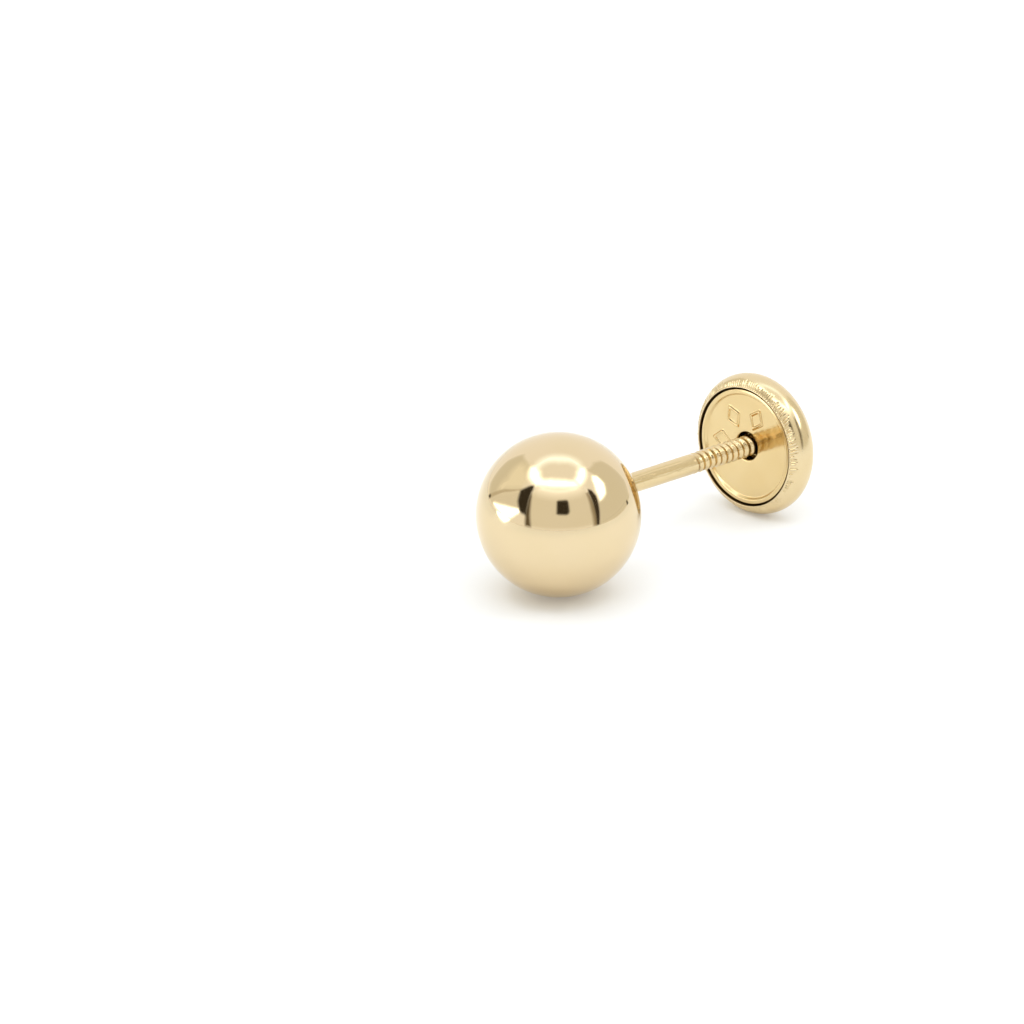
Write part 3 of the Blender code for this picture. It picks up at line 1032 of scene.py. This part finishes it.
# A painted pool of light: the glow is strongest round the middle and fades outwards.
glow = add_node(
    tree,
    "ShaderNodeMapRange",
    {
        "Value": far_out.outputs["Value"],
        "From Min": GLOW_START,
        "From Max": GLOW_END,
        "To Min": GLOW_NEAR,
        "To Max": GLOW_FAR,
    },
    interpolation_type="SMOOTHSTEP",
)
tree.links.new(glow.outputs["Result"], shader.inputs["Emission Strength"])
floor_form = bmesh.new()
bmesh.ops.create_grid(floor_form, x_segments=1, y_segments=1, size=FLOOR_SIZE / 2)
floor_mesh = bpy.data.meshes.new("light_table")
floor_form.to_mesh(floor_mesh)
floor_form.free()
floor_mesh.materials.append(opal_acrylic)
floor = bpy.data.objects.new("light_table", floor_mesh)
bpy.context.scene.collection.objects.link(floor)

# The camera: a long lens on the photograph's side of the stud, a little above the floor.
# It stands so far off that the view is nearly parallel, as the photograph's is.
AZIMUTH = math.radians(-47.03)
ELEVATION = math.radians(22.59)
FRAME_WIDTH = 36.8 * MM
LENS = 1500.0
AIM_RIGHT = -1.671 * MM
AIM_UP = 0.09 * MM

backwards = Vector(
    (
        math.sin(AZIMUTH) * math.cos(ELEVATION),
        -math.cos(AZIMUTH) * math.cos(ELEVATION),
        math.sin(ELEVATION),
    )
)
right = Vector((0.0, 0.0, 1.0)).cross(backwards).normalized()
up = backwards.cross(right)
lens = bpy.data.cameras.new("camera")
lens.lens = LENS
lens.clip_start = 0.01
lens.clip_end = 100.0
camera = bpy.data.objects.new("camera", lens)
away = FRAME_WIDTH * LENS / lens.sensor_width
camera.location = ball_centre + right * AIM_RIGHT + up * AIM_UP + backwards * away
camera.rotation_euler = backwards.to_track_quat("Z", "Y").to_euler()
bpy.context.scene.collection.objects.link(camera)
bpy.context.scene.camera = camera

# The light: a small white cloth tent, with a square of light strips in its roof and a slit in front for the
# camera. Each card hangs where the ball mirrors it, given by its turn from the camera to the right and its
# height, both in degrees.
CARD_DISTANCE = 0.4
TENT_LIGHT = 1.1  # the white cloth's brightness, in which every card's strength is counted
RIM_STEP = 4  # degrees between the points along a card's rim
LAMP_STRENGTH = 1.5  # a card brighter than this is sampled as a light
FADE = 0.7
FADE_GAIN = 0.5  # how much faster a brighter card has to fade, so that the eye sees it fade alike
# How much nearer than the card distance each kind of card hangs, so that none cuts another.
CLOTH, GLOW, SEAM, GAP, LAMP = 0.0, 0.01, 0.02, 0.04, 0.06
CLOTH_FOOT, FOOT_CORNER, LAMP_FOOT = 0.3, 0.31, 0.36

world = bpy.data.worlds.new("tent_cloth")
world.use_nodes = True
world.node_tree.nodes["Background"].inputs["Color"].default_value = linear("#FFFFFF")
world.node_tree.nodes["Background"].inputs["Strength"].default_value = TENT_LIGHT
bpy.context.scene.world = world
bpy.context.scene.view_settings.view_transform = "Standard"

towards = Vector((backwards.x, backwards.y, 0.0)).normalized()


def direction(turn, height):
    """A unit vector from the ball, by its turn from the camera to the right and its height in degrees."""
    turn, height = math.radians(turn), math.radians(height)
    level = towards * math.cos(turn) + right * math.sin(turn)
    return level * math.cos(height) + Vector((0.0, 0.0, math.sin(height)))


# From a card's middle outwards: the share of the way to its rim, the step past the rim as a share of its
# softness, and how much of the card is left there.
CARD_ROWS = (
    (0.5, -0.3, 1.0),
    (1.0, -0.3, 1.0),
    (1.0, -0.05, 0.75),
    (1.0, 0.2, 0.5),
    (1.0, 0.45, 0.25),
    (1.0, 0.7, 0.0),
)


def hang(name, colour, strength, nearer, soft, corners):
    """A glowing or dark card with its corners in the given directions, its edge fading over soft degrees."""
    whole = bpy.data.materials.new(name)
    edge = bpy.data.materials.new(name + "_edge")
    for cloth in (whole, edge):
        cloth.use_nodes = True
        is_lamp = strength > LAMP_STRENGTH and cloth == whole
        cloth.cycles.emission_sampling = "FRONT_BACK" if is_lamp else "NONE"
        tree = cloth.node_tree
        tree.nodes.clear()
        brightness = strength * TENT_LIGHT
        shown = add_node(tree, "ShaderNodeEmission", {"Color": linear(colour), "Strength": brightness})
        if cloth == edge:
            left = add_node(tree, "ShaderNodeAttribute", attribute_name="left").outputs["Fac"]
            fade = FADE + FADE_GAIN * strength
            eased = add_node(tree, "ShaderNodeMath", {0: left, 1: fade}, operation="POWER")
            gone = add_node(tree, "ShaderNodeBsdfTransparent")
            shown = add_node(
                tree, "ShaderNodeMixShader", {0: eased.outputs[0], 1: gone.outputs[0], 2: shown.outputs[0]}
            )
        add_node(tree, "ShaderNodeOutputMaterial", {"Surface": shown.outputs[0]})
    narrowing = math.cos(math.radians(sum(height for turn, height in corners) / len(corners)))
    flat = [Vector((turn * narrowing, height)) for turn, height in corners]
    rim = []
    for start, end in zip(flat, flat[1:] + flat[:1]):
        steps = max(1, round((end - start).length / RIM_STEP))
        rim += [start.lerp(end, step / steps) for step in range(steps)]
    middle = sum(rim, Vector((0.0, 0.0))) / len(rim)
    around = sum(a.x * b.y - a.y * b.x for a, b in zip(flat, flat[1:] + flat[:1]))
    form = bmesh.new()
    layer = form.verts.layers.float.new("left")
    rows = []
    for share, offset, left in CARD_ROWS:
        row = []
        for place, point in enumerate(rim):
            run = rim[(place + 1) % len(rim)] - rim[place - 1]
            outward = Vector((run.y, -run.x)).normalized() * math.copysign(1.0, around)
            reached = middle.lerp(point + outward * soft * offset, share)
            corner_point = form.verts.new(
                ball_centre + direction(reached.x / narrowing, reached.y) * (CARD_DISTANCE - nearer)
            )
            corner_point[layer] = left
            row.append(corner_point)
        rows.append(row)
    form.faces.new(rows[0])
    for inner, outer in zip(rows, rows[1:]):
        for place in range(len(rim)):
            following = (place + 1) % len(rim)
            side = form.faces.new((inner[place], outer[place], outer[following], inner[following]))
            side.material_index = 0 if outer is rows[1] else 1
    bmesh.ops.triangulate(form, faces=form.faces)
    mesh = bpy.data.meshes.new(name)
    form.to_mesh(mesh)
    form.free()
    mesh.materials.append(whole)
    mesh.materials.append(edge)
    card = bpy.data.objects.new(name, mesh)
    card.visible_camera = False
    bpy.context.scene.collection.objects.link(card)
    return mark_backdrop(card)


hang("front_cloth", "#EEECE4", 1.0, CLOTH, 4.5, [
    (-45, 3.2), (-20, 3.2), (5, 3.2), (30, 3.2), (53, 3.2), (55, 30), (55, 54), (30, 57), (5, 58),
    (-20, 58), (-52, 54), (-50, 30),
])
hang("left_cloth", "#E2E0D5", 1.0, CLOTH, 4.0, [
    (-144, 36), (-128, 49), (-112, 57), (-98, 52), (-77, 40), (-100, 22), (-121, 2), (-133, 5),
    (-142, 20),
])
hang("front_glow", "#F8FBFF", 1.45, GLOW, 18.0, [
    (-46, 50), (-25, 51), (0, 51), (25, 51), (50, 50), (50, 57), (25, 58), (0, 58), (-25, 58),
    (-46, 57),
])
hang("left_sheen", "#FDFBF0", 1.0, GLOW, 14.0, [
    (-125, 42), (-116, 34), (-110, 30), (-109.5, 23), (-112, 17), (-100, 25), (-78, 41), (-80, 50),
    (-100, 53), (-118, 50),
])
hang("left_low_cloth", "#EBE9E1", 1.0, CLOTH, 2.0, [
    (-121, 2), (-100, 20), (-76, 37), (-60, 16), (-75, 3), (-100, 2),
])
hang("left_fold", "#CDC6B6", 1.0, SEAM, 2.0, [
    (-123, 1.5), (-119, 1.5), (-99, 21), (-76, 38), (-77, 38.5), (-101, 22.5),
])
hang("left_corner", "#4A443A", 1.0, GAP, 2.0, [(-124, 1), (-120, 1), (-118, 3.5), (-121, 3.5)])
hang("right_cloth", "#E5E3DA", 1.0, CLOTH, 4.0, [
    (59, 0), (66, 24), (84, 26), (100, 42), (103, 57), (127, 45), (135, 33), (132, 8), (122, 0),
    (92, 0),
])
hang("right_foot", "#E5E3DA", 1.0, CLOTH_FOOT, 1.0, [
    (60, 2), (88, 3), (114, 3), (124, 5), (124, 1), (114, -1), (88, -1), (60, 0),
])
hang("right_corner", "#4A443A", 1.0, FOOT_CORNER, 1.6, [(112.5, -1.2), (116.5, -1.2), (115.5, 1.5), (113, 2)])
hang("camera_slit", "#39332A", 1.0, GAP, 3.5, [
    (-2.5, 23.5), (0, 22.7), (12, 22), (15, 23.2), (16.5, 26), (16.6, 38.5), (15.5, 41), (12.5, 41.6),
    (0, 41.4), (-2.5, 40.5),
])
hang("left_gap", "#39332A", 1.0, GAP, 4.5, [
    (-75, 38), (-67, 48), (-60, 53), (-56, 48), (-51, 30), (-48, 15), (-58, 16), (-68, 26),
])
hang("left_seam", "#655A47", 1.0, SEAM, 5.0, [(-52, 42), (-46, 28), (-39, 2), (-46, 2), (-48, 15)])
hang("right_gap", "#40382E", 1.0, GAP, 3.0, [
    (60, 42), (63, 45.5), (67, 42), (68, 33), (64.3, 22), (57.3, 0.5), (54.3, 0.5), (56.7, 22),
])
hang("right_seam", "#A39986", 1.0, SEAM, 5.0, [(55, 42), (58, 42), (57, 0.5), (50, 0.5), (51, 22)])
hang("front_strip", "#F8FBFF", 3.4, LAMP, 11.0, [
    (-54, 57), (-30, 61), (0, 62), (25, 60.5), (48, 57), (48, 63), (25, 69), (0, 71), (-30, 70),
    (-54, 64),
])
hang("left_strip", "#FAFCFF", 4.0, LAMP, 11.0, [
    (-110, 58), (-85, 55.5), (-58, 55.5), (-58, 64), (-85, 67), (-110, 64),
])
hang("right_strip", "#FAFCFF", 4.0, LAMP, 10.0, [
    (57, 56), (85, 58), (106, 60), (106, 65), (85, 67), (57, 64),
])
hang("back_strip", "#E6F3FF", 1.85, LAMP, 13.0, [
    (112, 63), (150, 67), (180, 69), (210, 67), (248, 63), (248, 68), (210, 76), (180, 79), (150, 77),
    (112, 67),
])
hang("left_lamp", "#FAFCFF", 4.0, LAMP, 5.0, [
    (-108, 3.5), (-85, 12), (-63, 18), (-59, 15), (-70, 4), (-82, 3), (-100, 3),
])
hang("left_lamp_foot", "#FAFCFF", 3.0, LAMP_FOOT, 1.5, [
    (-94, 2.5), (-94, 1), (-90.5, -1.2), (-84, -2.7), (-77, -3.6), (-72, -1), (-68, 2.8), (-75, 4),
])
hang("right_lamp", "#FAFCFF", 4.0, LAMP, 6.0, [
    (71, 26), (75, 38), (86, 48), (94, 50), (99, 45), (96, 35), (86, 28),
])
